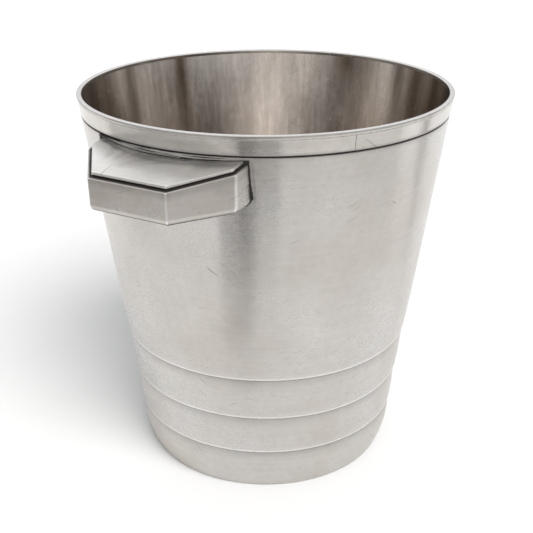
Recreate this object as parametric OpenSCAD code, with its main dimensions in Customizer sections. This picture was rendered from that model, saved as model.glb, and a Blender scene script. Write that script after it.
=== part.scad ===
// Stepped champagne bucket in silver plate. A spun body tapers down to two stepped tiers, and a
// soldered foot ring makes the third. A flat band is applied under the rim, a rounded rim wire
// closes the edge, and two hollow five-sided lugs with raised top plates are the handles.
// Millimetres, +Z up. The origin is the centre of the circle that the foot stands on, and the
// handles lie on the X axis.

/* [Rim] */
// Outer radius of the rim wire
rim_r = 100; // [98:0.1:102]
// Height of the rim above the surface that the bucket stands on
rim_z = 209.3; // [206:0.1:212]
// Width of the lip that the rim wire covers
lip_w = 2.7; // [2.5:0.1:3]
// Height of the rim wire
wire_h = 2; // [1.6:0.1:2.4]
// Radius of the rim wire's upper edges
wire_e = 0.9; // [0.5:0.1:1.1]

/* [Rim band] */
// Height of the flat band under the rim wire
band_h = 7.8; // [6:0.2:8.4]
// Thickness of the band
band_t = 0.9; // [0.7:0.1:1]
// How far the band stands proud of the body's taper
band_proud = 0.15; // [0.05:0.05:0.3]
// Height of the dark groove that the body's seat leaves under the band
groove_h = 0.9; // [0.5:0.1:1.2]

/* [Body] */
// Radius that the body's outer taper would have at the rim's height
taper_rim_r = 99.63; // [99.4:0.01:99.7]
// Growth of the radius for each millimetre of height
taper = 0.1331; // [0.13:0.0001:0.136]
// Wall thickness below the taper
wall_t = 1.2; // [1:0.1:1.5]
// Thickness of the floor
floor_t = 1.5; // [1.2:0.1:2]
// Radius inside, between wall and floor
floor_e = 4; // [3:0.5:6]
// Height where the taper starts to curve inwards
shoulder_z = 106.2; // [100:0.1:110]

/* [Tiers] */
// Height of the body's lip over the upper tier
upper_z = 73.4; // [72:0.1:75]
// Height of the upper tier's lip over the lower tier
lower_z = 48.2; // [47:0.1:50]
// Height of the foot ring
foot_h = 25; // [23:0.1:27]
// Radius of the body's lip over the upper tier
body_lip_r = 81; // [80.6:0.1:81.4]
// Radius of the upper tier's lip
upper_lip_r = 77.5; // [77:0.1:78]
// Radius of the lower tier's lip
lower_lip_r = 74.8; // [74.4:0.1:75.2]
// Radius of the foot ring where it meets the table
foot_lip_r = 69.5; // [69:0.1:70.6]
// How far each tier steps in under the lip above it
step_in = 0.9; // [0.6:0.1:1.1]
// How far the middle of a tier in the body bulges out from straight
tier_bulge = 0.35; // [0.2:0.05:0.8]
// How far the middle of the foot ring bulges out from straight
foot_bulge = 1.7; // [1:0.1:2]
// Radius of the lips' rounded lower edges
lip_e = 1.2; // [1.2:0.1:1.6]

/* [Foot] */
// Width of the turned-in edge that the bucket stands on
turn_w = 2.5; // [2:0.1:4]
// Height of the turned-in edge
turn_h = 2.4; // [2:0.1:4]
// Width of the flange soldered under the floor
flange_w = 6; // [4:0.5:10]

/* [Handles] */
// Distance from the bucket's axis to a handle's front face
handle_reach = 124.4; // [121:0.2:128]
// Distance from the bucket's axis to a handle's side corners
side_reach = 98.7; // [97:0.1:102]
// Width of a handle
handle_w = 83.2; // [79:0.2:87]
// Width of a handle's front face
front_w = 42.8; // [38:0.2:46]
// Height of a handle's underside where its middle meets the body
handle_low_z = 174.7; // [173:0.1:178]
// Fall of the underside for each millimetre outwards
under_fall = 0.05; // [0:0.01:0.1]
// How far a handle's sides lean in from top to bottom
draft = 0.2; // [0:0.1:1.2]
// Height of the top plate where its middle meets the body
plate_z = 195.8; // [195:0.1:196.5]
// Fall of the top plate for each millimetre outwards
plate_fall = 0.16; // [0.1:0.01:0.2]
// Thickness of the top plate
plate_t = 1.3; // [1:0.1:1.8]
// Height of the dark gap between the top plate and the shell
gap_h = 0.9; // [0.5:0.1:1.2]
// Depth of that gap, in from the top plate's edge
gap_d = 1; // [0.5:0.1:1.1]
// How far the top plate is set in from the shell's outline
plate_in = 2; // [1.4:0.1:2.1]
// Wall thickness of a handle's shell
shell_t = 3.4; // [3.3:0.1:3.8]
// Radius of a shell's lower edges
shell_e = 3.4; // [3:0.1:5]

/* [Hidden] */
$fn = 180;
wire_z = rim_z - wire_h;
band_z = wire_z - band_h;
groove_z = band_z - groove_h;
seat_d = band_t - band_proud;
lip_in_r = rim_r - lip_w;
shoulder_in_r = taper_r(shoulder_z) - wall_t;
floor_z = foot_h + floor_t;
curve_steps = 8;
edge_steps = 4;
lip_angle = acos(1 - step_in / lip_e);
lip_h = lip_e * sin(lip_angle);
wall_step_up = 1.2;
wall_step_down = 0.3;
front_fall = atan((handle_reach - side_reach) / (handle_w / 2 - front_w / 2));
hidden_reach = 60;
far_reach = handle_reach + 10;
slice_t = 0.01;
under_angle = atan(under_fall);
least_e = 1;
steel = "silver";
pale = "gainsboro";

// Outer radius of the straight taper at a height
function taper_r(z) = taper_rim_r - taper * (rim_z - z);

// Outer radius of the curve that leads from the taper in to the body's lip
function shoulder_r(z) =
    let (down = (shoulder_z - z) / (shoulder_z - upper_z - lip_h))
    taper_r(z) - (taper_r(upper_z + lip_h) - body_lip_r) * down * down;

// Outer radius of a tier between its lip at the bottom and the step at its top
function tier_r(z, low_z, high_z, low_r, high_r, bulge) =
    let (up = (z - low_z) / (high_z - low_z))
    low_r + (high_r - low_r) * up + bulge * 4 * up * (1 - up);

function upper_r(z) =
    tier_r(z, lower_z + lip_h, upper_z, upper_lip_r, body_lip_r - step_in, tier_bulge);
function lower_r(z) =
    tier_r(z, foot_h + lip_h, lower_z, lower_lip_r, upper_lip_r - step_in, tier_bulge);
function foot_r(z) = tier_r(z, lip_e, foot_h, foot_lip_r, lower_lip_r - step_in, foot_bulge);

// Evenly spaced heights from one height to another, both included
function heights(from_z, to_z) =
    [for (i = [0:curve_steps]) from_z + (to_z - from_z) * i / curve_steps];

// Round lower edge of a lip, from its outer face through an angle down to height z
function lip_points(r, z, angle) =
    [for (i = [0:edge_steps])
        let (a = angle * i / edge_steps)
        [r - lip_e + lip_e * cos(a), z + lip_e * (sin(angle) - sin(a))]];

// Quarter circle inside, from the floor up to the wall
function floor_points(r) =
    [for (i = [0:edge_steps])
        let (a = 90 * i / edge_steps)
        [r - floor_e + floor_e * sin(a), floor_z + floor_e - floor_e * cos(a)]];

// Inner points of a tier, a wall's thickness inside the outer ones
function inside(radii, zs) = [for (i = [0:len(zs) - 1]) [radii[i] - wall_t, zs[i]]];

// Spun wall and floor in one piece, with the band's seat, the shoulder and two stepped tiers
module body_shell() {
    shoulder_zs = heights(shoulder_z, upper_z + lip_h);
    upper_zs = heights(upper_z, lower_z + lip_h);
    lower_zs = heights(lower_z, foot_h + lip_h);
    lower_in_zs = heights(floor_z + floor_e, lower_z - wall_step_down);
    upper_in_zs = heights(lower_z + wall_step_up, upper_z - wall_step_down);
    shoulder_in_zs = heights(upper_z + wall_step_up, shoulder_z);
    outline = concat(
        [[taper_r(wire_z) - seat_d, wire_z], [taper_r(groove_z) - seat_d, groove_z]],
        [[taper_r(groove_z), groove_z]],
        [for (z = shoulder_zs) [shoulder_r(z), z]],
        lip_points(body_lip_r, upper_z, lip_angle),
        [for (z = upper_zs) [upper_r(z), z]],
        lip_points(upper_lip_r, lower_z, lip_angle),
        [for (z = lower_zs) [lower_r(z), z]],
        lip_points(lower_lip_r, foot_h, lip_angle),
        [[0, foot_h], [0, floor_z]],
        floor_points(lower_r(floor_z + floor_e) - wall_t),
        inside([for (z = lower_in_zs) lower_r(z)], lower_in_zs),
        inside([for (z = upper_in_zs) upper_r(z)], upper_in_zs),
        inside([for (z = shoulder_in_zs) shoulder_r(z)], shoulder_in_zs),
        [[lip_in_r, wire_z]]
    );
    color(steel) rotate_extrude() polygon(outline);
}

// Lowest tier: a spun ring with a flange soldered under the floor and a turned-in lower edge
module foot_ring() {
    outer_zs = heights(foot_h, lip_e);
    inner_zs = heights(turn_h, foot_h - wall_t);
    flange_r = lower_lip_r - step_in - flange_w;
    outline = concat(
        [for (z = outer_zs) [foot_r(z), z]],
        lip_points(foot_lip_r, 0, 90),
        [[foot_lip_r - lip_e - turn_w, 0], [foot_lip_r - lip_e - turn_w, turn_h]],
        inside([for (z = inner_zs) foot_r(z)], inner_zs),
        [[flange_r, foot_h - wall_t], [flange_r, foot_h]]
    );
    color(steel) rotate_extrude() polygon(outline);
}

// Flat strip bent into a ring and soldered in its seat under the rim
module rim_band() {
    low_r = taper_r(band_z) + band_proud;
    high_r = taper_r(wire_z) + band_proud;
    color(pale) rotate_extrude() polygon([
        [low_r - band_t, band_z], [low_r, band_z], [high_r, wire_z], [high_r - band_t, wire_z]
    ]);
}

// Rounded wire that covers the edges of the wall and the band
module rim_wire() {
    arc = [for (i = [0:edge_steps]) 90 * i / edge_steps];
    outline = concat(
        [[lip_in_r, wire_z], [taper_r(wire_z) + band_proud, wire_z]],
        [for (a = arc) [rim_r - wire_e + wire_e * cos(a), rim_z - wire_e + wire_e * sin(a)]],
        [for (a = arc) [lip_in_r + wire_e - wire_e * sin(a), rim_z - wire_e + wire_e * cos(a)]]
    );
    color(pale) rotate_extrude() polygon(outline);
}

// Five-sided outline of a handle from above, set in by a distance, with its open end in the body
module handle_outline(set_in) {
    front = handle_reach - set_in;
    front_y = front_w / 2 - set_in * tan(front_fall / 2);
    side = side_reach - set_in * tan((90 - front_fall) / 2);
    side_y = handle_w / 2 - set_in;
    polygon([
        [hidden_reach, side_y], [side, side_y], [front, front_y],
        [front, -front_y], [side, -side_y], [hidden_reach, -side_y]
    ]);
}

// Closed block of a handle with round lower edges, its sides set in and its underside raised
module handle_block(set_in) {
    edge = max(shell_e - set_in, least_e);
    meet_r = taper_r(handle_low_z);
    hull() {
        for (i = [0:edge_steps]) {
            a = 90 * i / edge_steps;
            translate([meet_r, 0, handle_low_z + set_in + edge - edge * cos(a)])
                rotate([0, under_angle, 0])
                    translate([-meet_r, 0, 0])
                        linear_extrude(slice_t)
                            handle_outline(set_in + draft + edge - edge * sin(a));
        }
        translate([0, 0, plate_z]) linear_extrude(slice_t) handle_outline(set_in);
    }
}

// Height of the top plate's surface at a distance from the bucket's axis
function plate_top(reach) = plate_z - plate_fall * (reach - taper_r(plate_z));

// Sloping slab, from one depth under the plate's top surface to another
module sloping_slab(high, low) {
    rotate([90, 0, 0])
        linear_extrude(handle_w + 2, center = true)
            polygon([
                [hidden_reach - 1, plate_top(hidden_reach - 1) - low],
                [hidden_reach - 1, plate_top(hidden_reach - 1) - high],
                [far_reach, plate_top(far_reach) - high],
                [far_reach, plate_top(far_reach) - low]
            ]);
}

// Solid cone of the body's outer taper, which a handle's back edges fit
module taper_cone() {
    low_z = handle_low_z - 10;
    translate([0, 0, low_z])
        cylinder(h = rim_z - low_z, r1 = taper_r(low_z), r2 = taper_r(rim_z));
}

// Hollow pressed shell of a handle, open towards the body and under the top plate
module handle_shell() {
    difference() {
        intersection() {
            handle_block(0);
            sloping_slab(plate_t + gap_h, rim_z);
        }
        handle_block(shell_t);
        taper_cone();
    }
}

// Upright block that a handle's top plate is cut from, set in by a distance
module plate_block(set_in) {
    translate([0, 0, handle_low_z]) linear_extrude(rim_z - handle_low_z) handle_outline(set_in);
}

// Flat plate over a smaller step, which closes a handle's shell and leaves a gap around the step
module handle_plate() {
    difference() {
        union() {
            intersection() {
                plate_block(plate_in);
                sloping_slab(0, plate_t);
            }
            intersection() {
                plate_block(plate_in + gap_d);
                sloping_slab(plate_t, plate_t + gap_h);
            }
        }
        taper_cone();
    }
}

module handle_left_shell() { color(steel) rotate([0, 0, 180]) handle_shell(); }
module handle_left_plate() { color(pale) rotate([0, 0, 180]) handle_plate(); }
module handle_right_shell() { color(steel) handle_shell(); }
module handle_right_plate() { color(pale) handle_plate(); }

body_shell();
foot_ring();
rim_band();
rim_wire();
handle_left_shell();
handle_left_plate();
handle_right_shell();
handle_right_plate();
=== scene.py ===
"""Looks of the stepped champagne bucket: lathed and lofted meshes in worn silver plate, in a soft studio."""
import math
import random

import bmesh
import bpy
import numpy as np
from mathutils import Matrix, Vector


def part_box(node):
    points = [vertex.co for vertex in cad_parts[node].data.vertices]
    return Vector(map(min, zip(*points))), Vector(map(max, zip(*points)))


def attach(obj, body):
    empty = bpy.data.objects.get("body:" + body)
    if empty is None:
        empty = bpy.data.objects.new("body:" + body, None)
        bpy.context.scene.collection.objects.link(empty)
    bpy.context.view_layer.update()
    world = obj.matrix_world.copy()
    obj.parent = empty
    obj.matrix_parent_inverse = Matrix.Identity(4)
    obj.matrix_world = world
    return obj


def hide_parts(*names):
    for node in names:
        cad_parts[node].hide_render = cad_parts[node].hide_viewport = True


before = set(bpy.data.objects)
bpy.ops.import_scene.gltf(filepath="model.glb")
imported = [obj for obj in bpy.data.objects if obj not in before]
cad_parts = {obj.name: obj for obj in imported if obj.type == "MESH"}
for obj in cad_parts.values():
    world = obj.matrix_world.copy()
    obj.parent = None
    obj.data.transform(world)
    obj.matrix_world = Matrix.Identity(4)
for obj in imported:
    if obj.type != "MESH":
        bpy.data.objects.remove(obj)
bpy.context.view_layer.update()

MM = 0.001

# ---------------------------------------------------------------- sizes that the frame gives
WIRE_LOW, WIRE_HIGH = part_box("rim_wire")
BAND_LOW, BAND_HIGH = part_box("rim_band")
FOOT_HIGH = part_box("foot_ring")[1]
SHELL_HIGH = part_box("handle_right_shell")[1]
PLATE_LOW, PLATE_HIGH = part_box("handle_right_plate")
RIM_R = min(WIRE_HIGH.x, WIRE_HIGH.y)
RIM_Z = WIRE_HIGH.z
WIRE_Z = WIRE_LOW.z
BAND_Z = BAND_LOW.z
FOOT_Z = FOOT_HIGH.z

# ---------------------------------------------------------------- sizes of the body
BAND_PROUD = 0.15 * MM
BAND_T = 0.9 * MM
LIP_W = 2.7 * MM
WIRE_E = 0.55 * MM
GROOVE_Z = BAND_Z - 0.9 * MM
TAPER = 0.1331
WALL_T = 1.2 * MM
FLOOR_Z = FOOT_Z + 1.5 * MM
FLOOR_E = 4 * MM
SHOULDER_Z = 106.2 * MM
UPPER_Z = 73.4 * MM
LOWER_Z = 48.2 * MM
BODY_LIP_R = 81 * MM
UPPER_LIP_R = 77.5 * MM
LOWER_LIP_R = 74.8 * MM
FOOT_LIP_R = 69.5 * MM
STEP_IN = 0.9 * MM
INNER_SOFT = 1.6 * MM
TIER_BULGE = 0.35 * MM
FOOT_BULGE = 1.7 * MM
LIP_E = 1.2 * MM
LIP_ANGLE = math.acos(1 - STEP_IN / LIP_E)
LIP_H = LIP_E * math.sin(LIP_ANGLE)
TURN_W = 2.5 * MM
TURN_H = 2.4 * MM
FLANGE_W = 6 * MM
SEAT_D = BAND_T - BAND_PROUD
EDGE_R = 0.18 * MM
SEAM_ANGLE = 234
SEAM_GAP = 0.22 * MM

# ---------------------------------------------------------------- sizes of the handles
PLATE_IN = 2 * MM
REACH = SHELL_HIGH.x
HANDLE_W = PLATE_HIGH.y - PLATE_LOW.y + 2 * PLATE_IN
FRONT_W = 42.8 * MM
SIDE_REACH = 98.7 * MM
LOW_Z = 174.7 * MM
UNDER_FALL = 0.05
DRAFT = 0.2 * MM
PLATE_Z = 195.8 * MM
PLATE_FALL = 0.16
PLATE_T = 1.3 * MM
PLATE_E = 0.3 * MM
GAP_H = 0.9 * MM
GAP_D = 1 * MM
LEDGE_W = 3.4 * MM
LEDGE_E = 0.35 * MM
SHELL_E = 3.4 * MM
FRONT_FOLD_R = 0.55 * MM
SIDE_FOLD_R = 2.2 * MM
EMBED = 0.5 * MM
SUPPORT = 0.35 * MM
SOLDER_R = 0.42 * MM
# Width of the painted shade and reflection beside each handle's end
HANDLE_SHADE_W = 1.9 * MM
EDGE_SUPPORT = 0.7 * MM
POLISH_AND_HIGHLIGHT_W = 0.45 * MM
END_POLISH_AND_HIGHLIGHT = 0.75
BACK_IN = 20 * MM
BACK_STEPS = 30
WALL_STEPS = 6
SEAM_STEPS = 26
SEAM_HALF_STEPS = 24
BEAD_SIDES = 8
BEAD_SWELL = 0.25

# ---------------------------------------------------------------- how fine the meshes are
SEGMENTS = 320
ROW = 2.2 * MM
LIP_STEPS = 7
ARC_STEPS = 8
FOLD_STEPS = 5
SHARP = math.radians(38)
REPEAT = 0.01 * MM
ON_AXIS = 0.001 * MM
JUST_OVER = 0.1 * MM
OUTER_FACING = 0.75
LEVEL_FACING = 0.9

# ---------------------------------------------------------------- wear, and painted shade
# Darkening round a crevice, as strength and width. On the body's steps it is painted shade, narrow and then
# hanging down wide;
# in the band's groove and at the band's lower edge it is painted shade too, and at the wire and the foot's
# lower edge a thin dark line
STEP_SHADE_LINE = (0.42, 0.4 * MM)
STEP_SHADE_HAZE = (0.17, 3.4 * MM)
GROOVE_SHADE = (1, 0.6 * MM)
BAND_EDGE_SHADE = (1, 0.5 * MM)
WIRE_DARK_LINE = (0.35, 0.3 * MM)
FOOT_EDGE_DARK = (0.5, 0.6 * MM)
# Painted shade on the handles: under them, up their lower rounding, at the top of their walls, and on the
# ledge and step in the gap under the plate. The full strength is also the solder's dark all over
UNDER_SHADE = 0.6
UNDER_EDGE_SHADE = 0.95
WALL_TOP_SHADE = 0.16
LEDGE_SHADE = 0.9
FULL_SHADE_AND_GRIME = 1.0

# Waves in the walls: depth, waves round the wall, waves up it for each metre in radians, and start
WAVES = (
    (0.05 * MM, 3, 21, 0.6), (0.04 * MM, 5, -34, 2.1), (0.03 * MM, 9, 57, 4.0), (0.02 * MM, 14, -88, 0),
)
CALM_TOP_H = 14 * MM
CALM_LOW_H = 10 * MM

# Tarnish inside, each as angle, half width, strength and the heights in mm where it is gone and full
INNER_STAINS = (
    (-1, 5.5, 0.92, 172, 203), (-9, 4.5, 0.55, 165, 205), (62.6, 3.0, 0.97, 120, 198),
    (-25, 3.0, 0.70, 150, 200), (-35, 6, 0.90, 110, 190), (-48, 7, 0.95, 30, 130),
    (-66, 16, 1.0, 0, 90), (-88, 20, 1.0, 0, 90), (100, 6, 0.70, 110, 190),
    (112, 8, 0.90, 50, 140), (134, 18, 1.0, 0, 90), (86, 3.0, 0.60, 120, 190),
    (76, 3, 0.35, 190, 110), (160, 20, 0.6, 40, 190), (-120, 25, 0.65, 40, 190),
    (14, 2.6, 0.40, 185, 130), (47, 2.4, 0.12, 190, 120),
)
STAIN_FADE_H = 30 * MM


# ---------------------------------------------------------------- the body's outer shape
def taper_r(z):
    """Outer radius of the straight taper at height z."""
    return BAND_HIGH.x - BAND_PROUD - TAPER * (WIRE_Z - z)


def shoulder_r(z):
    """Outer radius of the curve from the taper in to the body's lip."""
    low = UPPER_Z + LIP_H
    down = min(1, max(0, (SHOULDER_Z - z) / (SHOULDER_Z - low)))
    return taper_r(z) - (taper_r(low) - BODY_LIP_R) * down * down


def tier_r(z, low_z, high_z, low_r, high_r, bulge):
    """Outer radius of a slightly bulging tier at height z."""
    up = (z - low_z) / (high_z - low_z)
    return low_r + (high_r - low_r) * up + bulge * 4 * up * (1 - up)


def upper_r(z):
    return tier_r(z, LOWER_Z + LIP_H, UPPER_Z, UPPER_LIP_R, BODY_LIP_R - STEP_IN, TIER_BULGE)


def lower_r(z):
    return tier_r(z, FOOT_Z + LIP_H, LOWER_Z, LOWER_LIP_R, UPPER_LIP_R - STEP_IN, TIER_BULGE)


def foot_r(z):
    return tier_r(z, LIP_E, FOOT_Z, FOOT_LIP_R, LOWER_LIP_R - STEP_IN, FOOT_BULGE)


def inner_r(z):
    """Radius of the inner wall, which follows the outer one and softens its steps."""
    if z >= SHOULDER_Z:
        up = (z - SHOULDER_Z) / (WIRE_Z - SHOULDER_Z)
        low = taper_r(SHOULDER_Z) - WALL_T
        return low + (RIM_R - LIP_W - low) * up
    above_upper = smooth((z - UPPER_Z + INNER_SOFT) / (2 * INNER_SOFT))
    above_lower = smooth((z - LOWER_Z + INNER_SOFT) / (2 * INNER_SOFT))
    tiers = lower_r(min(z, LOWER_Z)) * (1 - above_lower) + upper_r(min(z, UPPER_Z)) * above_lower
    return tiers * (1 - above_upper) + shoulder_r(max(z, UPPER_Z)) * above_upper - WALL_T


# ---------------------------------------------------------------- outlines
def smooth(share):
    """Eases a share from 0 to 1, and clamps it."""
    share = min(1, max(0, share))
    return share * share * (3 - 2 * share)


def arc(centre_r, centre_z, radius, start, end, steps=ARC_STEPS):
    """Points of an arc in an outline, between two angles in degrees."""
    angles = [math.radians(start + (end - start) * i / steps) for i in range(steps + 1)]
    return [(centre_r + radius * math.cos(a), centre_z + radius * math.sin(a)) for a in angles]


def rise(radius_at, from_z, to_z, row=ROW):
    """Points of an outline between two heights, where radius_at gives the radius."""
    steps = max(1, round(abs(to_z - from_z) / row))
    zs = [from_z + (to_z - from_z) * i / steps for i in range(steps + 1)]
    return [(radius_at(z), z) for z in zs]


def tier_rise(radius_at, from_z, to_z):
    """Points of a tier between the lip under it and the step over it, close together at both."""
    return rise(radius_at, from_z + EDGE_SUPPORT, to_z - EDGE_SUPPORT) + [(radius_at(to_z), to_z)]


def across(from_r, to_r, z, row=3 * ROW):
    """Points of a flat stretch of an outline at height z."""
    steps = max(1, round(abs(to_r - from_r) / row))
    return [(from_r + (to_r - from_r) * i / steps, z) for i in range(steps + 1)]


def lip(r, z):
    """Rounded lower edge of a lip, from the step under it up to its outer face."""
    angles = [LIP_ANGLE * (1 - i / LIP_STEPS) for i in range(LIP_STEPS + 1)]
    height = math.sin(LIP_ANGLE)
    return [(r - LIP_E + LIP_E * math.cos(a), z + LIP_E * (height - math.sin(a))) for a in angles]


def without_repeats(points):
    """Outline points with each one that repeats its neighbour left out."""
    kept = [points[0]]
    for point in points[1:]:
        if math.dist(point, kept[-1]) > REPEAT:
            kept.append(point)
    return kept


# ---------------------------------------------------------------- wear in the metal's shape
def make_dents(seed, count, low_z, high_z, radius_at, depths, widths):
    """Shallow round dents, each as angle, height, width, depth and the wall's radius there."""
    rng = random.Random(seed)
    dents = []
    for _ in range(count):
        z = rng.uniform(low_z, high_z)
        angle = rng.uniform(-math.pi, math.pi)
        dents.append((angle, z, rng.uniform(*widths), rng.uniform(*depths), radius_at(z)))
    return dents


def dented(angles, zs, dents):
    """How far the surface moves inwards at each angle and height."""
    depth = np.zeros_like(angles)
    for angle, z, width, deep, radius in dents:
        apart = (angles - angle + np.pi) % (2 * np.pi) - np.pi
        depth += deep * np.exp(-((apart * radius) ** 2 + (zs - z) ** 2) / width ** 2)
    return depth


def spun_waves(angles, zs):
    """Slow waves that spinning and years of use leave in a wall."""
    return sum(
        high * np.sin(round_it * angles + up_it * zs + start) for high, round_it, up_it, start in WAVES
    )


def body_wear(angles, zs):
    """Waves and dents of the body, fading out at the band's seat and at the foot."""
    fade = np.clip((GROOVE_Z - zs) / CALM_TOP_H, 0, 1) * np.clip((zs - FOOT_Z) / CALM_LOW_H, 0, 1)
    return fade * (spun_waves(angles, zs) - dented(angles, zs, BODY_DENTS))


def foot_wear(angles, zs):
    fade = np.clip((FOOT_Z - zs) / (8 * MM), 0, 1) * np.clip(zs / (6 * MM), 0, 1)
    return fade * (0.6 * spun_waves(angles, zs) - dented(angles, zs, FOOT_DENTS))


def wire_wear(angles, zs):
    up = np.clip((zs - WIRE_Z) / (RIM_Z - WIRE_Z), 0, 1)
    return -up * (0.015 * MM * (1 + np.sin(7 * angles + 1)) + dented(angles, zs, WIRE_NICKS))


def no_wear(angles, zs):
    return np.zeros_like(angles)


BODY_DENTS = make_dents(
    11, 34, LOWER_Z, GROOVE_Z - CALM_TOP_H, taper_r, (0.03 * MM, 0.11 * MM), (2.6 * MM, 8 * MM)
)
FOOT_DENTS = make_dents(5, 12, 4 * MM, FOOT_Z, foot_r, (0.03 * MM, 0.09 * MM), (2.5 * MM, 6 * MM))
WIRE_NICKS = make_dents(
    8, 16, WIRE_Z, RIM_Z, lambda z: RIM_R, (0.03 * MM, 0.08 * MM), (1.2 * MM, 2.4 * MM)
)


def inner_stains(angles, zs):
    """Strength of the tarnish inside at each angle and height."""
    clear = np.ones_like(angles)
    for angle, half, strength, gone_z, full_z in INNER_STAINS:
        apart = (np.degrees(angles) - angle + 180) % 360 - 180
        up = np.clip((zs / MM - gone_z) / (full_z - gone_z), 0, 1)
        clear *= 1 - strength * np.exp(-((apart / half) ** 2)) * up
    on_wall_share = np.clip((zs - FLOOR_Z - FLOOR_E) / STAIN_FADE_H, 0, 1)
    return (1 - clear) * on_wall_share


# ---------------------------------------------------------------- meshes
def new_piece(name, vertices, faces, node=None, slot=None, **shades):
    """A smooth mesh piece on the root body, which may stand for a CAD node.

    Shades hold a value for each vertex, which the materials read.
    """
    mesh = bpy.data.meshes.new(name)
    mesh.from_pydata([tuple(v) for v in vertices], [], faces)
    work = bmesh.new()
    work.from_mesh(mesh)
    bmesh.ops.recalc_face_normals(work, faces=work.faces)
    work.to_mesh(mesh)
    work.free()
    mesh.shade_smooth()
    mesh.set_sharp_from_angle(angle=SHARP)
    for shade, values in shades.items():
        layer = mesh.attributes.new(shade, "FLOAT", "POINT")
        layer.data.foreach_set("value", np.asarray(values, np.float32))
    piece = bpy.data.objects.new(name, mesh)
    bpy.context.scene.collection.objects.link(piece)
    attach(piece, "root")
    if node:
        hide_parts(node)
    return piece


def crevice_grime(points, crevices):
    """Darkening of each outline point: painted shade under the body's lips and in the band's groove, and
    thin dark lines at the wire and at the foot's lower edge.

    A crevice is a radius, height, strength and width. The wide ones hang down from their height.
    """
    grimes = []
    for r, z in points:
        clear = 1.0
        for crevice_r, crevice_z, strength, width in crevices:
            if width > EDGE_SUPPORT and z > crevice_z + EDGE_R:
                continue
            apart = math.dist((r, z), (crevice_r, crevice_z))
            clear *= 1 - strength * math.exp(-((apart / width) ** 2))
        grimes.append(1 - clear)
    return grimes


def edge_polish(points, edges):
    """Polish and painted highlight of each outline point, full at the worn edges and gone a little away from
    them.
    """
    if not edges:
        return [0.0] * len(points)
    return [math.exp(-((min(math.dist(p, e) for e in edges) / POLISH_AND_HIGHLIGHT_W) ** 2)) for p in points]


def lathe(name, outline, closed, wear, crevices, edges=(), seam=None, **links):
    """Turns an outline about the Z axis. A seam is an angle and a gap that leave the ring open."""
    outline = without_repeats(outline)
    poles = [i for i, (r, _) in enumerate(outline) if r < ON_AXIS]
    columns = SEGMENTS if seam is None else SEGMENTS + 1
    start, sweep = (0, 2 * math.pi) if seam is None else (seam[0] + seam[1] / 2, 2 * math.pi - seam[1])
    angles = start + sweep * np.arange(columns) / SEGMENTS
    grimes = crevice_grime(outline, crevices)
    polishes = edge_polish(outline, edges)
    vertices, grime, polish, index = [], [], [], []
    for i, (r, z) in enumerate(outline):
        if i in poles:
            index.append([len(vertices)] * columns)
            vertices.append((0, 0, z))
            grime.append(grimes[i])
            polish.append(polishes[i])
            continue
        radii = r + wear(angles, np.full(columns, z))
        index.append(list(range(len(vertices), len(vertices) + columns)))
        vertices.extend(zip(radii * np.cos(angles), radii * np.sin(angles), np.full(columns, z)))
        grime.extend([grimes[i]] * columns)
        polish.extend([polishes[i]] * columns)
    faces, rows = [], len(outline) if closed else len(outline) - 1
    for i in range(rows):
        here, above = index[i], index[(i + 1) % len(outline)]
        for j in range(SEGMENTS):
            k = (j + 1) % columns
            corners = [here[j], here[k], above[k], above[j]]
            faces.append(list(dict.fromkeys(corners)))
    if seam is not None:
        faces.append([row[0] for row in index])
        faces.append([row[-1] for row in reversed(index)])
    places = np.array(vertices)
    stain = inner_stains(np.arctan2(places[:, 1], places[:, 0]), places[:, 2])
    return new_piece(name, vertices, faces, grime=grime, polish=polish, stain=stain, **links)


def grid_faces(rows, count):
    """Quads between rows of equal length that each close on themselves, and a face at both ends."""
    faces = []
    for i in range(rows - 1):
        for j in range(count):
            k = (j + 1) % count
            faces.append([i * count + j, i * count + k, (i + 1) * count + k, (i + 1) * count + j])
    faces.append(list(range(count)))
    faces.append(list(range((rows - 1) * count, rows * count)))
    return faces


def half_turned(vertices):
    """The same points, turned by half a turn about the Z axis."""
    return [Vector((-v.x, -v.y, v.z)) for v in vertices]


def give_materials(piece, materials, choose):
    """Gives a piece several materials, where choose names one for each face."""
    for material in materials:
        piece.data.materials.append(material)
    for polygon in piece.data.polygons:
        polygon.material_index = choose(polygon)


# ---------------------------------------------------------------- outlines of the spun pieces
def body_outline():
    """Closed half section of wall and floor, from the axis under the floor to the axis inside."""
    groove_r = taper_r(GROOVE_Z)
    wall_low = FLOOR_Z + FLOOR_E
    wall_low_r = inner_r(wall_low)
    return (
        across(0, LOWER_LIP_R - STEP_IN, FOOT_Z)
        + lip(LOWER_LIP_R, FOOT_Z)
        + tier_rise(lower_r, FOOT_Z + LIP_H, LOWER_Z)
        + lip(UPPER_LIP_R, LOWER_Z)
        + tier_rise(upper_r, LOWER_Z + LIP_H, UPPER_Z)
        + lip(BODY_LIP_R, UPPER_Z)
        + rise(shoulder_r, UPPER_Z + LIP_H + EDGE_SUPPORT, SHOULDER_Z)
        + rise(taper_r, SHOULDER_Z, GROOVE_Z - 3 * EDGE_R)
        + arc(groove_r - EDGE_R, GROOVE_Z - EDGE_R, EDGE_R, 0, 90, 4)
        + [(groove_r - SEAT_D, GROOVE_Z), (taper_r(WIRE_Z) - SEAT_D, WIRE_Z)]
        + [(RIM_R - LIP_W, WIRE_Z)]
        + rise(inner_r, WIRE_Z, wall_low)
        + arc(wall_low_r - FLOOR_E, wall_low, FLOOR_E, 0, -90)
        + across(wall_low_r - FLOOR_E, 0, FLOOR_Z)
    )


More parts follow.
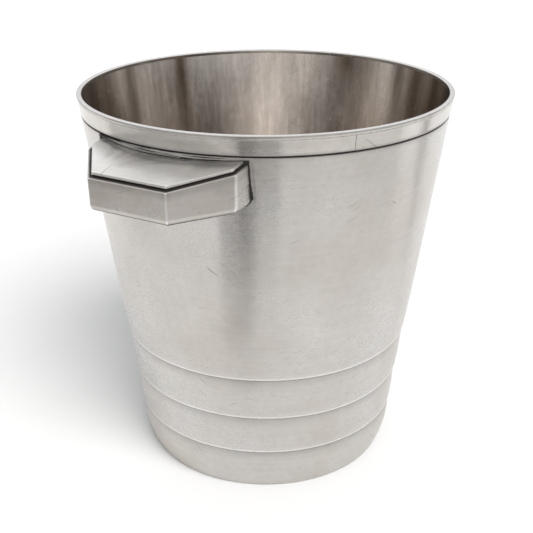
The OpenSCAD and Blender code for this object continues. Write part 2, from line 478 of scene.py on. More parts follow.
def foot_outline():
    """Closed section of the foot ring, from the flange down its outer face and up inside."""
    flange_r = LOWER_LIP_R - STEP_IN - FLANGE_W
    turn_r = FOOT_LIP_R - LIP_E - TURN_W
    return (
        across(flange_r, foot_r(FOOT_Z), FOOT_Z)
        + rise(foot_r, FOOT_Z - EDGE_SUPPORT, LIP_E, 1.5 * MM)
        + arc(FOOT_LIP_R - LIP_E, LIP_E, LIP_E, 0, -90)
        + [(turn_r + EDGE_R, 0), (turn_r, EDGE_R), (turn_r, TURN_H - EDGE_R)]
        + [(turn_r + EDGE_R, TURN_H)]
        + rise(lambda z: foot_r(z) - WALL_T, TURN_H, FOOT_Z - WALL_T)
        + [(flange_r, FOOT_Z - WALL_T)]
    )


def band_outline():
    low_r = taper_r(BAND_Z) + BAND_PROUD
    high_r = taper_r(WIRE_Z) + BAND_PROUD
    return (
        [(low_r - BAND_T, BAND_Z)]
        + arc(low_r - EDGE_R, BAND_Z + EDGE_R, EDGE_R, -90, 0, 4)
        + rise(lambda z: taper_r(z) + BAND_PROUD, BAND_Z + 3 * EDGE_R, WIRE_Z - 3 * EDGE_R, 1.2 * MM)
        + arc(high_r - EDGE_R, WIRE_Z - EDGE_R, EDGE_R, 0, 90, 4)
        + [(high_r - BAND_T, WIRE_Z)]
    )


def wire_outline():
    inner = RIM_R - LIP_W
    outer = taper_r(WIRE_Z) + BAND_PROUD
    return (
        [(inner, WIRE_Z), (outer - EDGE_R, WIRE_Z), (outer, WIRE_Z + EDGE_R / 2)]
        + arc(RIM_R - WIRE_E, RIM_Z - WIRE_E, WIRE_E, 0, 90)
        + arc(inner + WIRE_E, RIM_Z - WIRE_E, WIRE_E, 90, 180)
    )


def make_spun_pieces(look):
    """The body, the foot ring, the band and the rim wire."""
    lips = [(LOWER_LIP_R, FOOT_Z), (UPPER_LIP_R, LOWER_Z), (BODY_LIP_R, UPPER_Z)]
    # Painted shade under each lip: a narrow line and a wide haze hanging down
    steps = [(r - STEP_IN, z, *grime) for grime in (STEP_SHADE_LINE, STEP_SHADE_HAZE) for r, z in lips]
    # Polish with a painted highlight along the edge of each lip
    edges = [(r, z + LIP_H) for r, z in lips]
    # Painted shade in the band's groove
    groove = [(taper_r(z) - SEAT_D, z, *GROOVE_SHADE) for z in (GROOVE_Z, BAND_Z)]
    body = lathe(
        "bucket_body", body_outline(), False, body_wear, steps + groove, edges,
        node="body_shell", slot="body_silver"
    )
    give_materials(body, [look["outside"], look["inside"], look["underside"]], part_of_body)
    foot = lathe(
        "bucket_foot_ring", foot_outline(), True, foot_wear, steps + [(FOOT_LIP_R, 0, *FOOT_EDGE_DARK)],
        node="foot_ring", slot="foot_silver"
    )
    give_materials(foot, [look["foot"], look["underside"]], part_of_foot)
    band = lathe(
        "bucket_rim_band", band_outline(), True, no_wear, [(taper_r(BAND_Z), BAND_Z, *BAND_EDGE_SHADE)],
        seam=(math.radians(SEAM_ANGLE), SEAM_GAP / RIM_R), node="rim_band", slot="band_silver"
    )
    give_materials(band, [look["band"]], lambda polygon: 0)
    wire = lathe(
        "bucket_rim_wire", wire_outline(), True, wire_wear, [(RIM_R, RIM_Z - WIRE_E, *WIRE_DARK_LINE)],
        node="rim_wire", slot="wire_silver"
    )
    give_materials(wire, [look["wire"], look["band"]], part_of_wire)


def from_axis(polygon):
    """How far a face is from the Z axis, and how much it faces away from it."""
    radius = math.hypot(polygon.center.x, polygon.center.y)
    facing = polygon.normal.x * polygon.center.x + polygon.normal.y * polygon.center.y
    return radius, facing


def part_of_wire(polygon):
    """1 for the outer face, which runs on from the band, and 0 for the rest."""
    radius, facing = from_axis(polygon)
    return 1 if facing > OUTER_FACING * radius else 0


def part_of_body(polygon):
    """0 for the outer wall, 1 for the inside and 2 for the underside."""
    radius, facing = from_axis(polygon)
    if polygon.center.z < FOOT_Z + JUST_OVER and radius < LOWER_LIP_R - STEP_IN:
        return 2
    within = radius < inner_r(max(polygon.center.z, FLOOR_Z)) + WALL_T / 4
    return 1 if within and (facing < 0 or polygon.normal.z > LEVEL_FACING) else 0


def part_of_foot(polygon):
    """0 for the outer face and its lower edge, 1 for what faces the recess."""
    radius, facing = from_axis(polygon)
    return 1 if facing < 0 or radius < FOOT_LIP_R - LIP_E - TURN_W else 0


# ---------------------------------------------------------------- the handles
FRONT_FALL = math.atan2(REACH - SIDE_REACH, (HANDLE_W - FRONT_W) / 2)


def plate_top(x):
    """Height of the top plate's surface at a distance from the bucket's axis."""
    return PLATE_Z - PLATE_FALL * (x - taper_r(PLATE_Z))


def under(x):
    """Height of a handle's underside at a distance from the bucket's axis."""
    return LOW_Z - UNDER_FALL * (x - taper_r(LOW_Z))


def fillet(before, corner, after, radius):
    """Arc points that round a corner, with a support point on each side."""
    into = (corner - before).normalized()
    out = (after - corner).normalized()
    turn = into.angle(out)
    reach = radius * math.tan(turn / 2)
    start = corner - into * reach
    side = 1 if into.cross(out) > 0 else -1
    normal = Vector((-into.y, into.x)) * side
    centre = start + normal * radius
    points = [start - into * SUPPORT]
    for i in range(FOLD_STEPS + 1):
        spin = Matrix.Rotation(side * turn * i / FOLD_STEPS, 2)
        points.append(centre + spin @ (start - centre))
    points.append(corner + out * (reach + SUPPORT))
    return points


def front_path(set_in):
    """Outline of a handle from above without its back, set in, from the +Y side to the -Y side."""
    front = REACH - set_in
    front_y = FRONT_W / 2 - set_in * math.tan(FRONT_FALL / 2)
    side = SIDE_REACH - set_in * math.tan((math.pi / 2 - FRONT_FALL) / 2)
    side_y = HANDLE_W / 2 - set_in
    back = RIM_R - BACK_IN
    corners = [
        Vector((back, side_y)), Vector((side, side_y)), Vector((front, front_y)),
        Vector((front, -front_y)), Vector((side, -side_y)), Vector((back, -side_y))
    ]
    radii = [SIDE_FOLD_R, FRONT_FOLD_R, FRONT_FOLD_R, SIDE_FOLD_R]
    path = []
    for i, radius in enumerate(radii):
        path += fillet(corners[i], corners[i + 1], corners[i + 2], radius)
    return path, side_y


def on_wall(y, height_at):
    """Distance from the axis, along X, where the taper lies at y and at the height there."""
    x = RIM_R
    for _ in range(4):
        x = math.sqrt(taper_r(height_at(x)) ** 2 - y * y)
    return x


def handle_ring(set_in, height_at):
    """Closed ring of a handle's loft: round the front, and back along the inside of the wall."""
    path, side_y = front_path(set_in)
    ys = [-side_y + 2 * side_y * i / BACK_STEPS for i in range(BACK_STEPS + 1)]
    back = [Vector((on_wall(y, height_at) - EMBED, y)) for y in ys]
    return [Vector((p.x, p.y, height_at(p.x))) for p in path + back]


def fold_polish(count):
    """Polish and painted highlight for each point of a handle's ring: full on the front folds, less on the
    end faces.
    """
    bright_fold = [0.0] + [1.0] * (FOLD_STEPS + 1) + [0.0]
    soft = [END_POLISH_AND_HIGHLIGHT] * (FOLD_STEPS + 2) + [0.0]
    path = soft + bright_fold + bright_fold + soft[::-1]
    return path + [END_POLISH_AND_HIGHLIGHT] * (count - len(path))


def loft(name, rings, grimes, turned, **links):
    """Joins rings of equal length with quads, and closes both ends."""
    count = len(rings[0])
    vertices = [v for ring in rings for v in ring]
    if turned:
        vertices = half_turned(vertices)
    faces = grid_faces(len(rings), count)
    grime = [g for g in grimes for _ in range(count)]
    polish = [w * (1 - g) for g in grimes for w in fold_polish(count)]
    return new_piece(name, vertices, faces, grime=grime, polish=polish, **links)


def shell_rings():
    """Rings of a handle's shell, from its underside to the ledge under the plate, with their painted shade.
    """
    drop = PLATE_T + GAP_H
    rings, grimes = [], []

    def add(set_in, height_at, grime=0.0):
        rings.append(handle_ring(set_in, height_at))
        grimes.append(grime)

    def wall_height(share):
        return lambda x: (under(x) + SHELL_E) * (1 - share) + (plate_top(x) - drop - LEDGE_E) * share

    # Painted shade on the underside and up the lower rounding
    add(DRAFT + SHELL_E + SUPPORT, under, UNDER_SHADE)
    for i in range(ARC_STEPS + 1):
        a = math.pi / 2 * i / ARC_STEPS
        lift = SHELL_E * (1 - math.cos(a))
        low_grime = min(UNDER_EDGE_SHADE, max(0.0, 2.75 - 4 * i / ARC_STEPS))
        add(DRAFT + SHELL_E * (1 - math.sin(a)), lambda x, lift=lift: under(x) + lift, low_grime)
    for i in range(WALL_STEPS):
        share = (i + 0.15) / WALL_STEPS
        # Painted shade on the last ring of the wall, just under the ledge
        add(DRAFT * (1 - share), wall_height(share), WALL_TOP_SHADE if i == WALL_STEPS - 1 else 0.0)
    for i in range(ARC_STEPS // 2 + 1):
        a = math.pi / 2 * i / (ARC_STEPS // 2)
        sink = LEDGE_E * (1 - math.sin(a))
        add(LEDGE_E * (1 - math.cos(a)), lambda x, sink=sink: plate_top(x) - drop - sink)
    # Painted shade on the ledge, in the gap under the plate
    add(LEDGE_E + SUPPORT, lambda x: plate_top(x) - drop, LEDGE_SHADE)
    add(PLATE_IN, lambda x: plate_top(x) - drop, FULL_SHADE_AND_GRIME)
    add(LEDGE_W, lambda x: plate_top(x) - drop, FULL_SHADE_AND_GRIME)
    return rings, grimes


def plate_rings():
    """Rings of a handle's top plate, from the foot of its narrower step to its top face."""
    # Each is a set-in, a depth and painted shade, full in the gap under the plate and fading up the plate's
    # lower edge
    sets = [
        (PLATE_IN + GAP_D, PLATE_T + GAP_H, FULL_SHADE_AND_GRIME),
        (PLATE_IN + GAP_D, PLATE_T, FULL_SHADE_AND_GRIME),
        (PLATE_IN + EDGE_R, PLATE_T, FULL_SHADE_AND_GRIME),
        (PLATE_IN + EDGE_R / 4, PLATE_T - EDGE_R / 3, 0.6),
        (PLATE_IN, PLATE_T - EDGE_R, 0.15),
        (PLATE_IN, PLATE_E + EDGE_R / 2, 0.0),
    ]
    for i in range(ARC_STEPS + 1):
        a = math.pi / 2 * i / ARC_STEPS
        sets.append((PLATE_IN + PLATE_E * (1 - math.cos(a)), PLATE_E * (1 - math.sin(a)), 0.0))
    sets.append((PLATE_IN + PLATE_E + SUPPORT, 0.0, 0.0))
    rings = [
        handle_ring(set_in, lambda x, depth=depth: plate_top(x) - depth) for set_in, depth, _ in sets
    ]
    return rings, [grime for _, _, grime in sets]


def seam_path():
    """Where a handle's shell meets the wall: down one end, along the underside and up the other."""
    top = PLATE_T + GAP_H
    path = []
    for i in range(SEAM_STEPS + 1):
        share = i / SEAM_STEPS
        set_in = DRAFT * (1 - share)

        def height(x, share=share):
            return (under(x) + SHELL_E) * (1 - share) + (plate_top(x) - top) * share

        y = HANDLE_W / 2 - set_in
        x = on_wall(y, height)
        path.append(Vector((x, y, height(x))))
    path.reverse()
    for i in range(1, ARC_STEPS + 1):
        a = math.pi / 2 * (1 - i / ARC_STEPS)
        y = HANDLE_W / 2 - DRAFT - SHELL_E * (1 - math.sin(a))
        lift = SHELL_E * (1 - math.cos(a))
        x = on_wall(y, lambda x: under(x) + lift)
        path.append(Vector((x, y, under(x) + lift)))
    low_y = path[-1].y
    for i in range(1, SEAM_HALF_STEPS + 1):
        y = low_y * (1 - i / SEAM_HALF_STEPS)
        x = on_wall(y, under)
        path.append(Vector((x, y, under(x))))
    mirrored = [Vector((p.x, -p.y, p.z)) for p in path[:-1]]
    return path + mirrored[::-1]


def solder_bead(name, turned, seed):
    """Uneven bead of solder along the seam between a handle and the wall."""
    path = seam_path()
    rng = random.Random(seed)
    swells = [rng.uniform(1 - BEAD_SWELL, 1 + BEAD_SWELL) for _ in path]
    vertices = []
    for i, point in enumerate(path):
        before, after = path[max(i - 1, 0)], path[min(i + 1, len(path) - 1)]
        along = (after - before).normalized()
        out = Vector((point.x, point.y, 0)).normalized()
        across_seam = along.cross(out).normalized()
        out = across_seam.cross(along)
        for j in range(BEAD_SIDES):
            a = 2 * math.pi * j / BEAD_SIDES
            offset = across_seam * math.cos(a) + out * math.sin(a)
            vertices.append(point + offset * SOLDER_R * swells[i])
    if turned:
        vertices = half_turned(vertices)
    grime = [FULL_SHADE_AND_GRIME] * len(vertices)
    faces = grid_faces(len(path), BEAD_SIDES)
    return new_piece(name, vertices, faces, slot="handle_silver", grime=grime)


def make_handles(look):
    """Both handles, each a shell, a top plate and a bead of solder."""
    shell, shell_grime = shell_rings()
    plate, plate_grime = plate_rings()
    for side, turned, seed in (("right", False, 3), ("left", True, 4)):
        pieces = [
            (loft(f"bucket_handle_{side}_shell", shell, shell_grime, turned,
                  node=f"handle_{side}_shell", slot="handle_silver"), "handle"),
            (loft(f"bucket_handle_{side}_plate", plate, plate_grime, turned,
                  node=f"handle_{side}_plate", slot="plate_silver"), "plate"),
            (solder_bead(f"bucket_handle_{side}_solder", turned, seed), "solder"),
        ]
        for piece, name in pieces:
            give_materials(piece, [look[name]], lambda polygon: 0)


# ---------------------------------------------------------------- materials
UNROLL_R = 90 * MM
WARM_TINT = (0.95, 0.88, 0.80)
STAIN_COLOUR = (0.165, 0.118, 0.080, 1)
POLISH_AND_HIGHLIGHT_COLOUR = (0.90, 0.89, 0.87, 1)
SCRATCH_COLOUR = (0.12, 0.105, 0.095, 1)
SHADE_AND_GRIME_COLOUR = (0.017, 0.015, 0.014, 1)
SPECULAR = 0.08
SCRATCH_THIN = 1700
PITS_PER_METRE = 230
PIT_SIZE = 0.13
WALL_TARNISH_W = 0.9 * MM
# Painted shade and reflection round the handles: its strength inside the band, and the noises that break it
# up over the plates and fray its edge
HANDLE_SHADE_OVER = 1.2
SHADE_BREAK_NOISE = (34, 34, 1500)
RAGGED_NOISE = (300, 300, 150)
# How far each noise darkens and lightens the metal, and how far it changes the roughness
BRUSH_TONE = (0.93, 1.07)
FINE_TONE = (0.975, 1.025)
MOTTLE_TONE = (0.95, 1.05)
PATCH_ROUGH = (-0.02, 0.04)
BRUSH_ROUGH = (-0.035, 0.035)
MOTTLE_ROUGH = (-0.02, 0.02)
# Upright streaks inside, a painted reflection: noise, its place, and how far it darkens and lightens
REFLECTION_STREAKS = (
    ((42, 42, 2.0), (1, 9, 0), (0.93, 1.06)),
    ((130, 130, 3.0), (5, 3, 0), (0.86, 1.07)),
    ((420, 420, 4.0), (2, 6, 0), (0.93, 1.05)),
)
# Strength and distance of the bumps from brushing and from the cloudy wear
BRUSH_BUMP = (0.22, 0.03 * MM)
CLOUD_BUMP = (0.35, 0.35 * MM)
FINER = 3.1
POLISH_AND_HIGHLIGHT_COVER = 0.8
MARK_COVER = 0.5
MARK_DEPTH = 0.8
SHADE_AND_GRIME_COVER = 1.05
SHADE_AND_GRIME_ROUGH = 0.25
QUARTER_TURN = 0.25
RING_BRUSH = (24, 24, 620)


class Nodes:
    """Short calls that add linked nodes to a node tree."""

    def __init__(self, owner, coords):
        owner.use_nodes = True
        self.nodes = owner.node_tree.nodes
        self.links = owner.node_tree.links
        self.coords = self.nodes.new("ShaderNodeTexCoord").outputs[coords]

    def add(self, kind, inputs=(), **settings):
        node = self.nodes.new(kind)
        for key, value in settings.items():
            setattr(node, key, value)
        for key, value in dict(inputs).items():
            self.feed(node.inputs[key], value)
        return node

    def feed(self, socket, value):
        if isinstance(value, bpy.types.NodeSocket):
            self.links.new(value, socket)
        else:
            socket.default_value = value

    def math(self, operation, a, b=0.0, clamp=False):
        return self.add("ShaderNodeMath", {0: a, 1: b}, operation=operation, use_clamp=clamp).outputs[0]

    def noise(self, stretch, detail=3.0, rough=0.55, shift=(0, 0, 0)):
        """Noise whose stretch gives its cycles for each metre along X, Y and Z."""
        place = self.add("ShaderNodeMapping", {"Vector": self.coords, "Scale": stretch, "Location": shift})
        found = self.add(
            "ShaderNodeTexNoise",
            {"Vector": place.outputs[0], "Scale": 1.0, "Detail": detail, "Roughness": rough}
        )
        return found.outputs["Fac"]

    def span(self, value, low, high, to_low=0.0, to_high=1.0):
        """Maps a range of values to another, and clamps."""
        return self.add(
            "ShaderNodeMapRange",
            {"Value": value, "From Min": low, "From Max": high, "To Min": to_low, "To Max": to_high}
        ).outputs[0]

    def mix(self, share, a, b, blend="MIX"):
        node = self.add("ShaderNodeMix", data_type="RGBA", blend_type=blend)
        self.feed(node.inputs[0], share)
        self.feed(node.inputs[6], a)
        self.feed(node.inputs[7], b)
        return node.outputs[2]

    def product(self, first, *others):
        for other in others:
            first = self.math("MULTIPLY", first, other)
        return first

    def place(self):
        """The X, Y and Z of the coordinates."""
        return self.add("ShaderNodeSeparateXYZ", {0: self.coords}).outputs

    def grey(self, tone):
        return self.add("ShaderNodeCombineXYZ", {0: tone, 1: tone, 2: tone}).outputs[0]

    def shade(self, name):
        """One of the values that the mesh holds for each vertex."""
        return self.add("ShaderNodeAttribute", attribute_name=name, attribute_type="GEOMETRY").outputs["Fac"]


class Tree(Nodes):
    """A new material, with its shader."""

    def __init__(self, name):
        self.material = bpy.data.materials.new(name)
        super().__init__(self.material, "Object")
        self.shader = self.nodes["Principled BSDF"]


def unrolled(tree):
    """Coordinates on the metal as if it were unrolled from the axis: round it, up it and none."""
    x, y, z = tree.place()
    turn = tree.math("ARCTAN2", tree.math("MULTIPLY", y, -1.0), tree.math("MULTIPLY", x, -1.0))
    round_it = tree.math("MULTIPLY", turn, UNROLL_R)
    return tree.add("ShaderNodeCombineXYZ", {0: round_it, 1: z}).outputs[0]


def scratches(tree, seed, turn, along, keep):
    """A few short straight scratches: stretched noise cut high.

    Turn aims them, in degrees. Along gives the noise's cycles for each metre of their length.
    """
    turned = tree.add(
        "ShaderNodeMapping", {"Vector": unrolled(tree), "Rotation": (0, 0, math.radians(turn))}
    ).outputs[0]
    stretched = tree.add(
        "ShaderNodeMapping",
        {"Vector": turned, "Scale": (along, SCRATCH_THIN, 1), "Location": (seed, 2.3 * seed, seed)}
    ).outputs[0]
    lines = tree.add("ShaderNodeTexNoise", {"Vector": stretched, "Scale": 1.0, "Detail": 0.0}).outputs["Fac"]
    where = tree.noise((50, 50, 50), 2.0, 0.5, (seed, seed, seed))
    return tree.math("MULTIPLY", tree.span(lines, keep, keep + 0.06), tree.span(where, 0.54, 0.66))


def specks(tree, seed, cells, size):
    """Small dark pits, one in some of the cells of a grid with that many cells for each metre."""
    place = tree.add("ShaderNodeMapping", {"Vector": tree.coords, "Location": (seed, seed, seed)}).outputs[0]
    found = tree.add("ShaderNodeTexVoronoi", {"Vector": place, "Scale": cells, "Randomness": 1.0})
    where = tree.noise((60, 60, 60), 2.0, 0.5, (seed, 4, seed))
    pits = tree.span(found.outputs["Distance"], size, 0.4 * size, 0.0, 1.0)
    return tree.math("MULTIPLY", pits, tree.span(where, 0.56, 0.70, 0.0, 0.8))


def fading(tree, distance, reach):
    """Full at a distance of zero or less, and gone at the reach."""
    share = tree.span(distance, 0.0, reach, 1.0, 0.0)
    return tree.math("MULTIPLY", share, share)


def wall_distance(tree):
    """Distance of a point from the body's taper, outwards."""
    x, y, z = tree.place()
    squares = tree.math("ADD", tree.math("MULTIPLY", x, x), tree.math("MULTIPLY", y, y))
    radius = tree.math("SQRT", squares)
    wall = tree.math("ADD", tree.math("MULTIPLY", z, TAPER), taper_r(0))
    return tree.math("SUBTRACT", radius, wall)


def handle_painted_shade(tree):
    """Painted shade and painted reflection on the wall round the handles: a dark band beside their ends and
    a dark line over their plates, reaching higher in patches.
    """
    x, y, z = tree.place()
    x = tree.math("ABSOLUTE", x)
    at_handle = tree.span(x, 0.7 * SIDE_REACH, 0.75 * SIDE_REACH)
    top_at_axis = PLATE_Z + PLATE_FALL * taper_r(PLATE_Z)
    top = tree.math("SUBTRACT", top_at_axis, tree.math("MULTIPLY", x, PLATE_FALL))
    ragged = tree.span(tree.noise(RAGGED_NOISE, 3.0, 0.6, (2, 2, 2)), 0.3, 0.6, 0.0, HANDLE_SHADE_W / 2)
    beside = tree.math("SUBTRACT", tree.math("ABSOLUTE", y), HANDLE_W / 2 + HANDLE_SHADE_W / 2)
    beside = tree.span(tree.math("ADD", beside, ragged), 0.0, HANDLE_SHADE_W, HANDLE_SHADE_OVER, 0.0)
    below = fading(tree, tree.math("SUBTRACT", LOW_Z + SHELL_E, z), SHELL_E)
    above = fading(tree, tree.math("SUBTRACT", z, tree.math("ADD", top, 0.25 * MM)), HANDLE_SHADE_W / 2)
    broken = tree.span(tree.noise(SHADE_BREAK_NOISE, 3.0, 0.6, (4, 1, 3)), 0.38, 0.56)
    above = tree.math("MAXIMUM", above, broken)
    return tree.product(beside, below, above, at_handle)


def grime_on(tree, cloud, extra):
    """Painted shade and grime from the mesh's own values and from what extra names, patchy where it is thin.
    """
    grime = tree.shade("grime")
    if extra == "wall":
        grime = tree.math("MAXIMUM", grime, fading(tree, wall_distance(tree), WALL_TARNISH_W))
    if extra == "handles":
        grime = tree.math("MAXIMUM", grime, handle_painted_shade(tree))
    solid = tree.span(grime, 0.75, 0.95)
    thin = tree.product(grime, tree.span(cloud, 0.25, 0.6, 0.6, 1.0))
    return tree.math("MAXIMUM", solid, thin)


def marks_on(tree):
    """Scratches in two directions, and pits."""
    lines = tree.math(
        "MAXIMUM", scratches(tree, 1.7, 38, 90, 0.77), scratches(tree, 4.1, -24, 70, 0.765)
    )
    return tree.math("MAXIMUM", lines, specks(tree, 3.3, PITS_PER_METRE, PIT_SIZE))


def silver(name, colour, rough, brush, warm=0.4, marks=1.0, aniso=0.8, bump=1.0, uneven=0.05, extra=None):
    """Worn silver plate, with painted shade in its crevices and a painted highlight with the polish on its
    edges. Brush gives the cycles of the brushing for each metre along X, Y and Z.

    Extra names what else a surface has: tarnish by the "wall", painted shade and painted reflection round
    the "handles", or "stains" with painted reflection streaks.
    """
    tree = Tree(name)
    patches = tree.span(tree.noise((13, 13, 13), 5.0, 0.6), 0.36, 0.68)
    cloud = tree.noise((46, 46, 46), 4.0, 0.6, (3, 1, 2))
    mottle = tree.noise((260, 260, 260), 3.0, 0.6, (6, 2, 8))
    brushing = tree.noise(brush, 4.0, 0.7)
    fine = tree.noise(tuple(FINER * b for b in brush), 3.0, 0.7, (7, 5, 1))
    grime = grime_on(tree, cloud, extra)
    lines = marks_on(tree)

    tint = tuple(c * w for c, w in zip(colour, WARM_TINT)) + (1,)
    base = tree.mix(tree.product(patches, warm), colour + (1,), tint)
    tone = tree.product(
        tree.span(brushing, 0.2, 0.8, *BRUSH_TONE),
        tree.span(fine, 0.2, 0.8, *FINE_TONE),
        tree.span(mottle, 0.25, 0.75, *MOTTLE_TONE),
        tree.span(cloud, 0.25, 0.75, 1 - uneven, 1 + 0.8 * uneven)
    )
    if extra == "stains":
        # Painted reflection streaks inside, then the real stains in their own colour
        tone = tree.product(tone, painted_reflection_streaks(tree))
        base = tree.mix(tree.shade("stain"), base, STAIN_COLOUR)
    base = tree.mix(1.0, base, tree.grey(tone), "MULTIPLY")
    # Brighter polished edges with a painted highlight on them
    base = tree.mix(tree.product(tree.shade("polish"), POLISH_AND_HIGHLIGHT_COVER), base, POLISH_AND_HIGHLIGHT_COLOUR)
    base = tree.mix(tree.product(lines, MARK_COVER * marks), base, SCRATCH_COLOUR)
    # Painted shade, near black, in crevices, gaps and under the handles, with the real dark of the solder
    # and the tarnish by the wall
    base = tree.mix(tree.math("MULTIPLY", grime, SHADE_AND_GRIME_COVER, True), base, SHADE_AND_GRIME_COLOUR)
    tree.feed(tree.shader.inputs["Base Color"], base)

    roughness = tree.math("ADD", rough, tree.span(patches, 0, 1, *PATCH_ROUGH))
    roughness = tree.math("ADD", roughness, tree.span(brushing, 0.2, 0.8, *BRUSH_ROUGH))
    roughness = tree.math("ADD", roughness, tree.span(mottle, 0.2, 0.8, *MOTTLE_ROUGH))
    # Painted shade and grime also make the metal rougher and, below, not metallic
    roughness = tree.math("ADD", roughness, tree.product(grime, SHADE_AND_GRIME_ROUGH))
    tree.feed(tree.shader.inputs["Roughness"], roughness)
    tree.feed(tree.shader.inputs["Metallic"], tree.span(grime, 0.3, 0.9, 1.0, 0.0))
    tree.shader.inputs["Specular IOR Level"].default_value = SPECULAR

    height = tree.math("ADD", tree.product(brushing, 0.7), tree.product(fine, 0.3))
    height = tree.math("SUBTRACT", height, tree.product(lines, MARK_DEPTH * marks))
    bumped = tree.add(
        "ShaderNodeBump", {"Strength": BRUSH_BUMP[0] * bump, "Distance": BRUSH_BUMP[1], "Height": height}
    ).outputs[0]
    wavy = tree.add(
        "ShaderNodeBump",
        {"Strength": CLOUD_BUMP[0], "Distance": CLOUD_BUMP[1], "Height": cloud, "Normal": bumped}
    ).outputs[0]
    tree.feed(tree.shader.inputs["Normal"], wavy)
    if aniso:
        tree.shader.inputs["Anisotropic"].default_value = aniso
        tree.shader.inputs["Anisotropic Rotation"].default_value = QUARTER_TURN
        tangent = tree.add("ShaderNodeTangent", direction_type="RADIAL", axis="Z")
        tree.feed(tree.shader.inputs["Tangent"], tangent.outputs[0])
    return tree.material


def painted_reflection_streaks(tree):
    """Upright light and dark streaks of several widths inside: a painted reflection."""
    return tree.product(*[
        tree.span(tree.noise(stretch, 2.0, 0.5, shift), 0.34, 0.66, *tones)
        for stretch, shift, tones in REFLECTION_STREAKS
    ])


def make_looks():
    """Every material of the object, by the name of the part that it covers."""
    return {
        "outside": silver(
            "silver_outside", (0.605, 0.587, 0.567), 0.285, RING_BRUSH, warm=0.5, aniso=0.9, bump=0.45,
            extra="handles"
        ),
        "inside": silver(
            "silver_inside", (0.85, 0.80, 0.752), 0.24, (420, 420, 10), warm=0.5, bump=0.3, extra="stains"
        ),
        "underside": silver("silver_underside", (0.50, 0.46, 0.41), 0.46, (90, 90, 90), warm=1.0, aniso=0),
        "foot": silver("silver_foot", (0.60, 0.583, 0.562), 0.32, RING_BRUSH, warm=0.5, bump=0.45),
        "band": silver(
            "silver_band", (0.64, 0.62, 0.595), 0.235, RING_BRUSH, warm=0.5, aniso=0.88, bump=0.45,
            uneven=0.08
        ),
        "wire": silver(
            "silver_wire", (0.66, 0.645, 0.625), 0.22, RING_BRUSH, warm=0.2, marks=0.6, aniso=0.4
        ),
        "handle": silver(
            "silver_handle", (0.54, 0.517, 0.495), 0.28, (36, 36, 680), warm=0.5, aniso=0.5, uneven=0.12,
            extra="wall"
        ),
        "plate": silver(
            "silver_plate", (0.69, 0.677, 0.655), 0.33, (900, 26, 60), warm=0.25, aniso=0, extra="wall"
        ),
        "solder": silver("silver_solder", (0.12, 0.11, 0.10), 0.5, (300, 300, 300), warm=0.8, aniso=0),
    }


# ---------------------------------------------------------------- camera and studio
CAMERA_LENS = 63.32
CAMERA_SENSOR = 36
CAMERA_AROUND = math.radians(209.78)
CAMERA_AWAY = 0.4991
CAMERA_HEIGHT = 0.32298
CAMERA_PITCH = 0.41547
CAMERA_YAW = 0.00047
CAMERA_ROLL = -0.003
CAMERA_CLIP = (0.01, 50)

FLOOR_HALF = 8
FLOOR_TONE = (0.50, 0.51)

# Strength of the world low down, from the height WORLD_HIGH_AT up, overhead and at the sides
WORLD_LOW = 0.60
WORLD_HIGH = 1.42
WORLD_OVER = 0.62
WORLD_SIDES = 0.50
WORLD_HIGH_AT = 0.55
WORLD_OVER_FROM = 0.62
WORLD_COLOUR = (0.975, 0.985, 1.0, 1)

KEY_ENERGY = 5.7
KEY_WIDTH = math.radians(44)
KEY_FROM = (0.50, 0.92, 1)
KEY_COLOUR = (1.0, 0.99, 0.97)

# Upright cards: start and end angle from the camera's own, radius, lower and upper edge, and glow
ROUND_FLAGS = {
    "flag_left": (-100, -22, 0.50, 0.002, 0.30, 0.50),
    "flag_front": (-22, 22, 0.50, 0.002, 0.30, 0.36),
    "flag_right": (22, 82, 0.50, 0.002, 0.30, 0.55),
    "flag_pole": (100.4, 104.2, 0.40, 0.002, 0.32, 0.0),
}
FLAG_BEND = 4
FLAG_COLOUR = (1.0, 0.985, 0.965, 1)

# Level cards over the floor: height, glow and the corners as angles and distances
FLAT_FLAGS = {
    "flag_low": (0.004, 0.34, (
        (-12, 0.222), (-19, 0.228), (-24, 0.245), (-27, 0.28), (-28, 0.39),
        (-2, 0.39), (-4, 0.33), (-7, 0.28), (-8, 0.245)
    )),
    "flag_band": (0.008, 0.02, ((-15, 0.36), (-15, 0.49), (8, 0.49), (8, 0.36))),
}


def camera_axes():
    """The camera's right, up and forward directions."""
    heading = CAMERA_AROUND + math.pi - CAMERA_YAW
    level = math.cos(CAMERA_PITCH)
    forward = Vector((math.cos(heading) * level, math.sin(heading) * level, -math.sin(CAMERA_PITCH)))
    flat_right = Vector((math.sin(heading), -math.cos(heading), 0))
    flat_up = flat_right.cross(forward)
    right = flat_right * math.cos(CAMERA_ROLL) + flat_up * math.sin(CAMERA_ROLL)
    up = flat_up * math.cos(CAMERA_ROLL) - flat_right * math.sin(CAMERA_ROLL)
    return right, up, forward


def make_camera():
    right, up, forward = camera_axes()
    data = bpy.data.cameras.new("camera")
    data.lens = CAMERA_LENS
    data.sensor_width = CAMERA_SENSOR
    data.clip_start, data.clip_end = CAMERA_CLIP
    camera = bpy.data.objects.new("camera", data)
    place = Vector((
        CAMERA_AWAY * math.cos(CAMERA_AROUND), CAMERA_AWAY * math.sin(CAMERA_AROUND), CAMERA_HEIGHT
    ))
    turn = Matrix((right, up, -forward)).transposed()
    camera.matrix_world = Matrix.Translation(place) @ turn.to_4x4()
    bpy.context.scene.collection.objects.link(camera)
    bpy.context.scene.camera = camera


def studio_direction(right, toward, up):
    """A direction in the row frame from parts to the camera's right, towards it and upwards."""
    flat_right = Vector((-math.sin(CAMERA_AROUND), math.cos(CAMERA_AROUND), 0))
    flat_toward = Vector((math.cos(CAMERA_AROUND), math.sin(CAMERA_AROUND), 0))
    return (flat_right * right + flat_toward * toward + Vector((0, 0, up))).normalized()


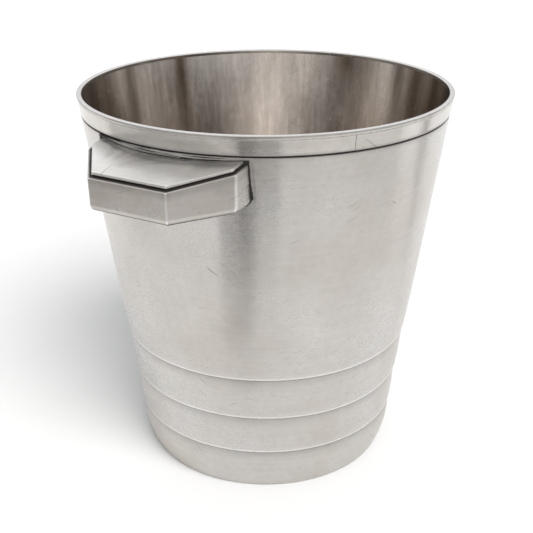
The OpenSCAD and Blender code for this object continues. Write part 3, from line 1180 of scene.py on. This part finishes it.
def make_floor():
    """Pale matt floor, large enough to fill the view."""
    corners = [(x * FLOOR_HALF, y * FLOOR_HALF, 0) for x, y in ((-1, -1), (1, -1), (1, 1), (-1, 1))]
    mesh = bpy.data.meshes.new("studio_floor")
    mesh.from_pydata(corners, [], [(0, 1, 2, 3)])
    floor = bpy.data.objects.new("studio_floor", mesh)
    bpy.context.scene.collection.objects.link(floor)
    tree = Tree("floor_paper")
    tone = tree.span(tree.noise((3, 3, 3), 2.0), 0.3, 0.7, *FLOOR_TONE)
    tree.feed(tree.shader.inputs["Base Color"], tree.grey(tone))
    tree.shader.inputs["Roughness"].default_value = 0.9
    tree.shader.inputs["Specular IOR Level"].default_value = 0.1
    mesh.materials.append(tree.material)


def make_world():
    """Pale surroundings, bright above and dimmer low down and at the sides."""
    world = bpy.data.worlds.new("studio")
    tree = Nodes(world, "Generated")
    up = tree.place()[2]
    side = tree.add(
        "ShaderNodeVectorMath", {0: tree.coords, 1: studio_direction(1, 0, 0)}, operation="DOT_PRODUCT"
    ).outputs["Value"]
    level = tree.product(
        tree.span(up, 0.0, WORLD_HIGH_AT, WORLD_LOW, WORLD_HIGH),
        tree.span(up, WORLD_OVER_FROM, 1.0, 1.0, WORLD_OVER),
        tree.span(tree.product(side, side), 0.0, 1.0, 1.0, WORLD_SIDES)
    )
    background = tree.nodes["Background"]
    background.inputs["Color"].default_value = WORLD_COLOUR
    tree.feed(background.inputs["Strength"], level)
    bpy.context.scene.world = world


def make_key_light():
    """Wide soft light from above, in front and to the right, that reflections leave out."""
    data = bpy.data.lights.new("key", "SUN")
    data.energy = KEY_ENERGY
    data.angle = KEY_WIDTH
    data.color = KEY_COLOUR
    key = bpy.data.objects.new("key", data)
    bpy.context.scene.collection.objects.link(key)
    key.visible_glossy = False
    key.rotation_mode = "QUATERNION"
    key.rotation_quaternion = studio_direction(*KEY_FROM).to_track_quat("Z", "Y")


def make_flag(name, vertices, faces, glow):
    """Grey card that only reflections show."""
    mesh = bpy.data.meshes.new(name)
    mesh.from_pydata(vertices, [], faces)
    flag = bpy.data.objects.new(name, mesh)
    bpy.context.scene.collection.objects.link(flag)
    flag.visible_camera = False
    flag.visible_diffuse = False
    flag.visible_shadow = False
    material = bpy.data.materials.new(name)
    material.use_nodes = True
    shader = material.node_tree.nodes["Principled BSDF"]
    shader.inputs["Base Color"].default_value = (0, 0, 0, 1)
    shader.inputs["Specular IOR Level"].default_value = 0
    shader.inputs["Emission Color"].default_value = FLAG_COLOUR
    shader.inputs["Emission Strength"].default_value = glow
    mesh.materials.append(material)


def round_flag(name, start, end, radius, low, high, glow):
    """Upright card bent about the Z axis, between two angles from the camera's own, in degrees."""
    steps = max(2, round((end - start) / FLAG_BEND))
    vertices = []
    for i in range(steps + 1):
        angle = CAMERA_AROUND + math.radians(start + (end - start) * i / steps)
        vertices += [(radius * math.cos(angle), radius * math.sin(angle), z) for z in (low, high)]
    faces = [(2 * i, 2 * i + 2, 2 * i + 3, 2 * i + 1) for i in range(steps)]
    make_flag(name, vertices, faces, glow)


def flat_flag(name, height, glow, outline):
    """Level card just over the floor, with corners as angles from the camera's own and distances."""
    vertices = []
    for angle, away in outline:
        turn = CAMERA_AROUND + math.radians(angle)
        vertices.append((away * math.cos(turn), away * math.sin(turn), height))
    make_flag(name, vertices, [tuple(range(len(vertices)))], glow)


def make_flags():
    """Cards that give the facets of the handles and the middle of the body something to mirror."""
    for name, card in ROUND_FLAGS.items():
        round_flag(name, *card)
    for name, card in FLAT_FLAGS.items():
        flat_flag(name, *card)


bpy.context.scene.view_settings.view_transform = "Standard"
make_camera()
make_floor()
make_world()
make_key_light()
make_flags()
LOOKS = make_looks()
make_spun_pieces(LOOKS)
make_handles(LOOKS)
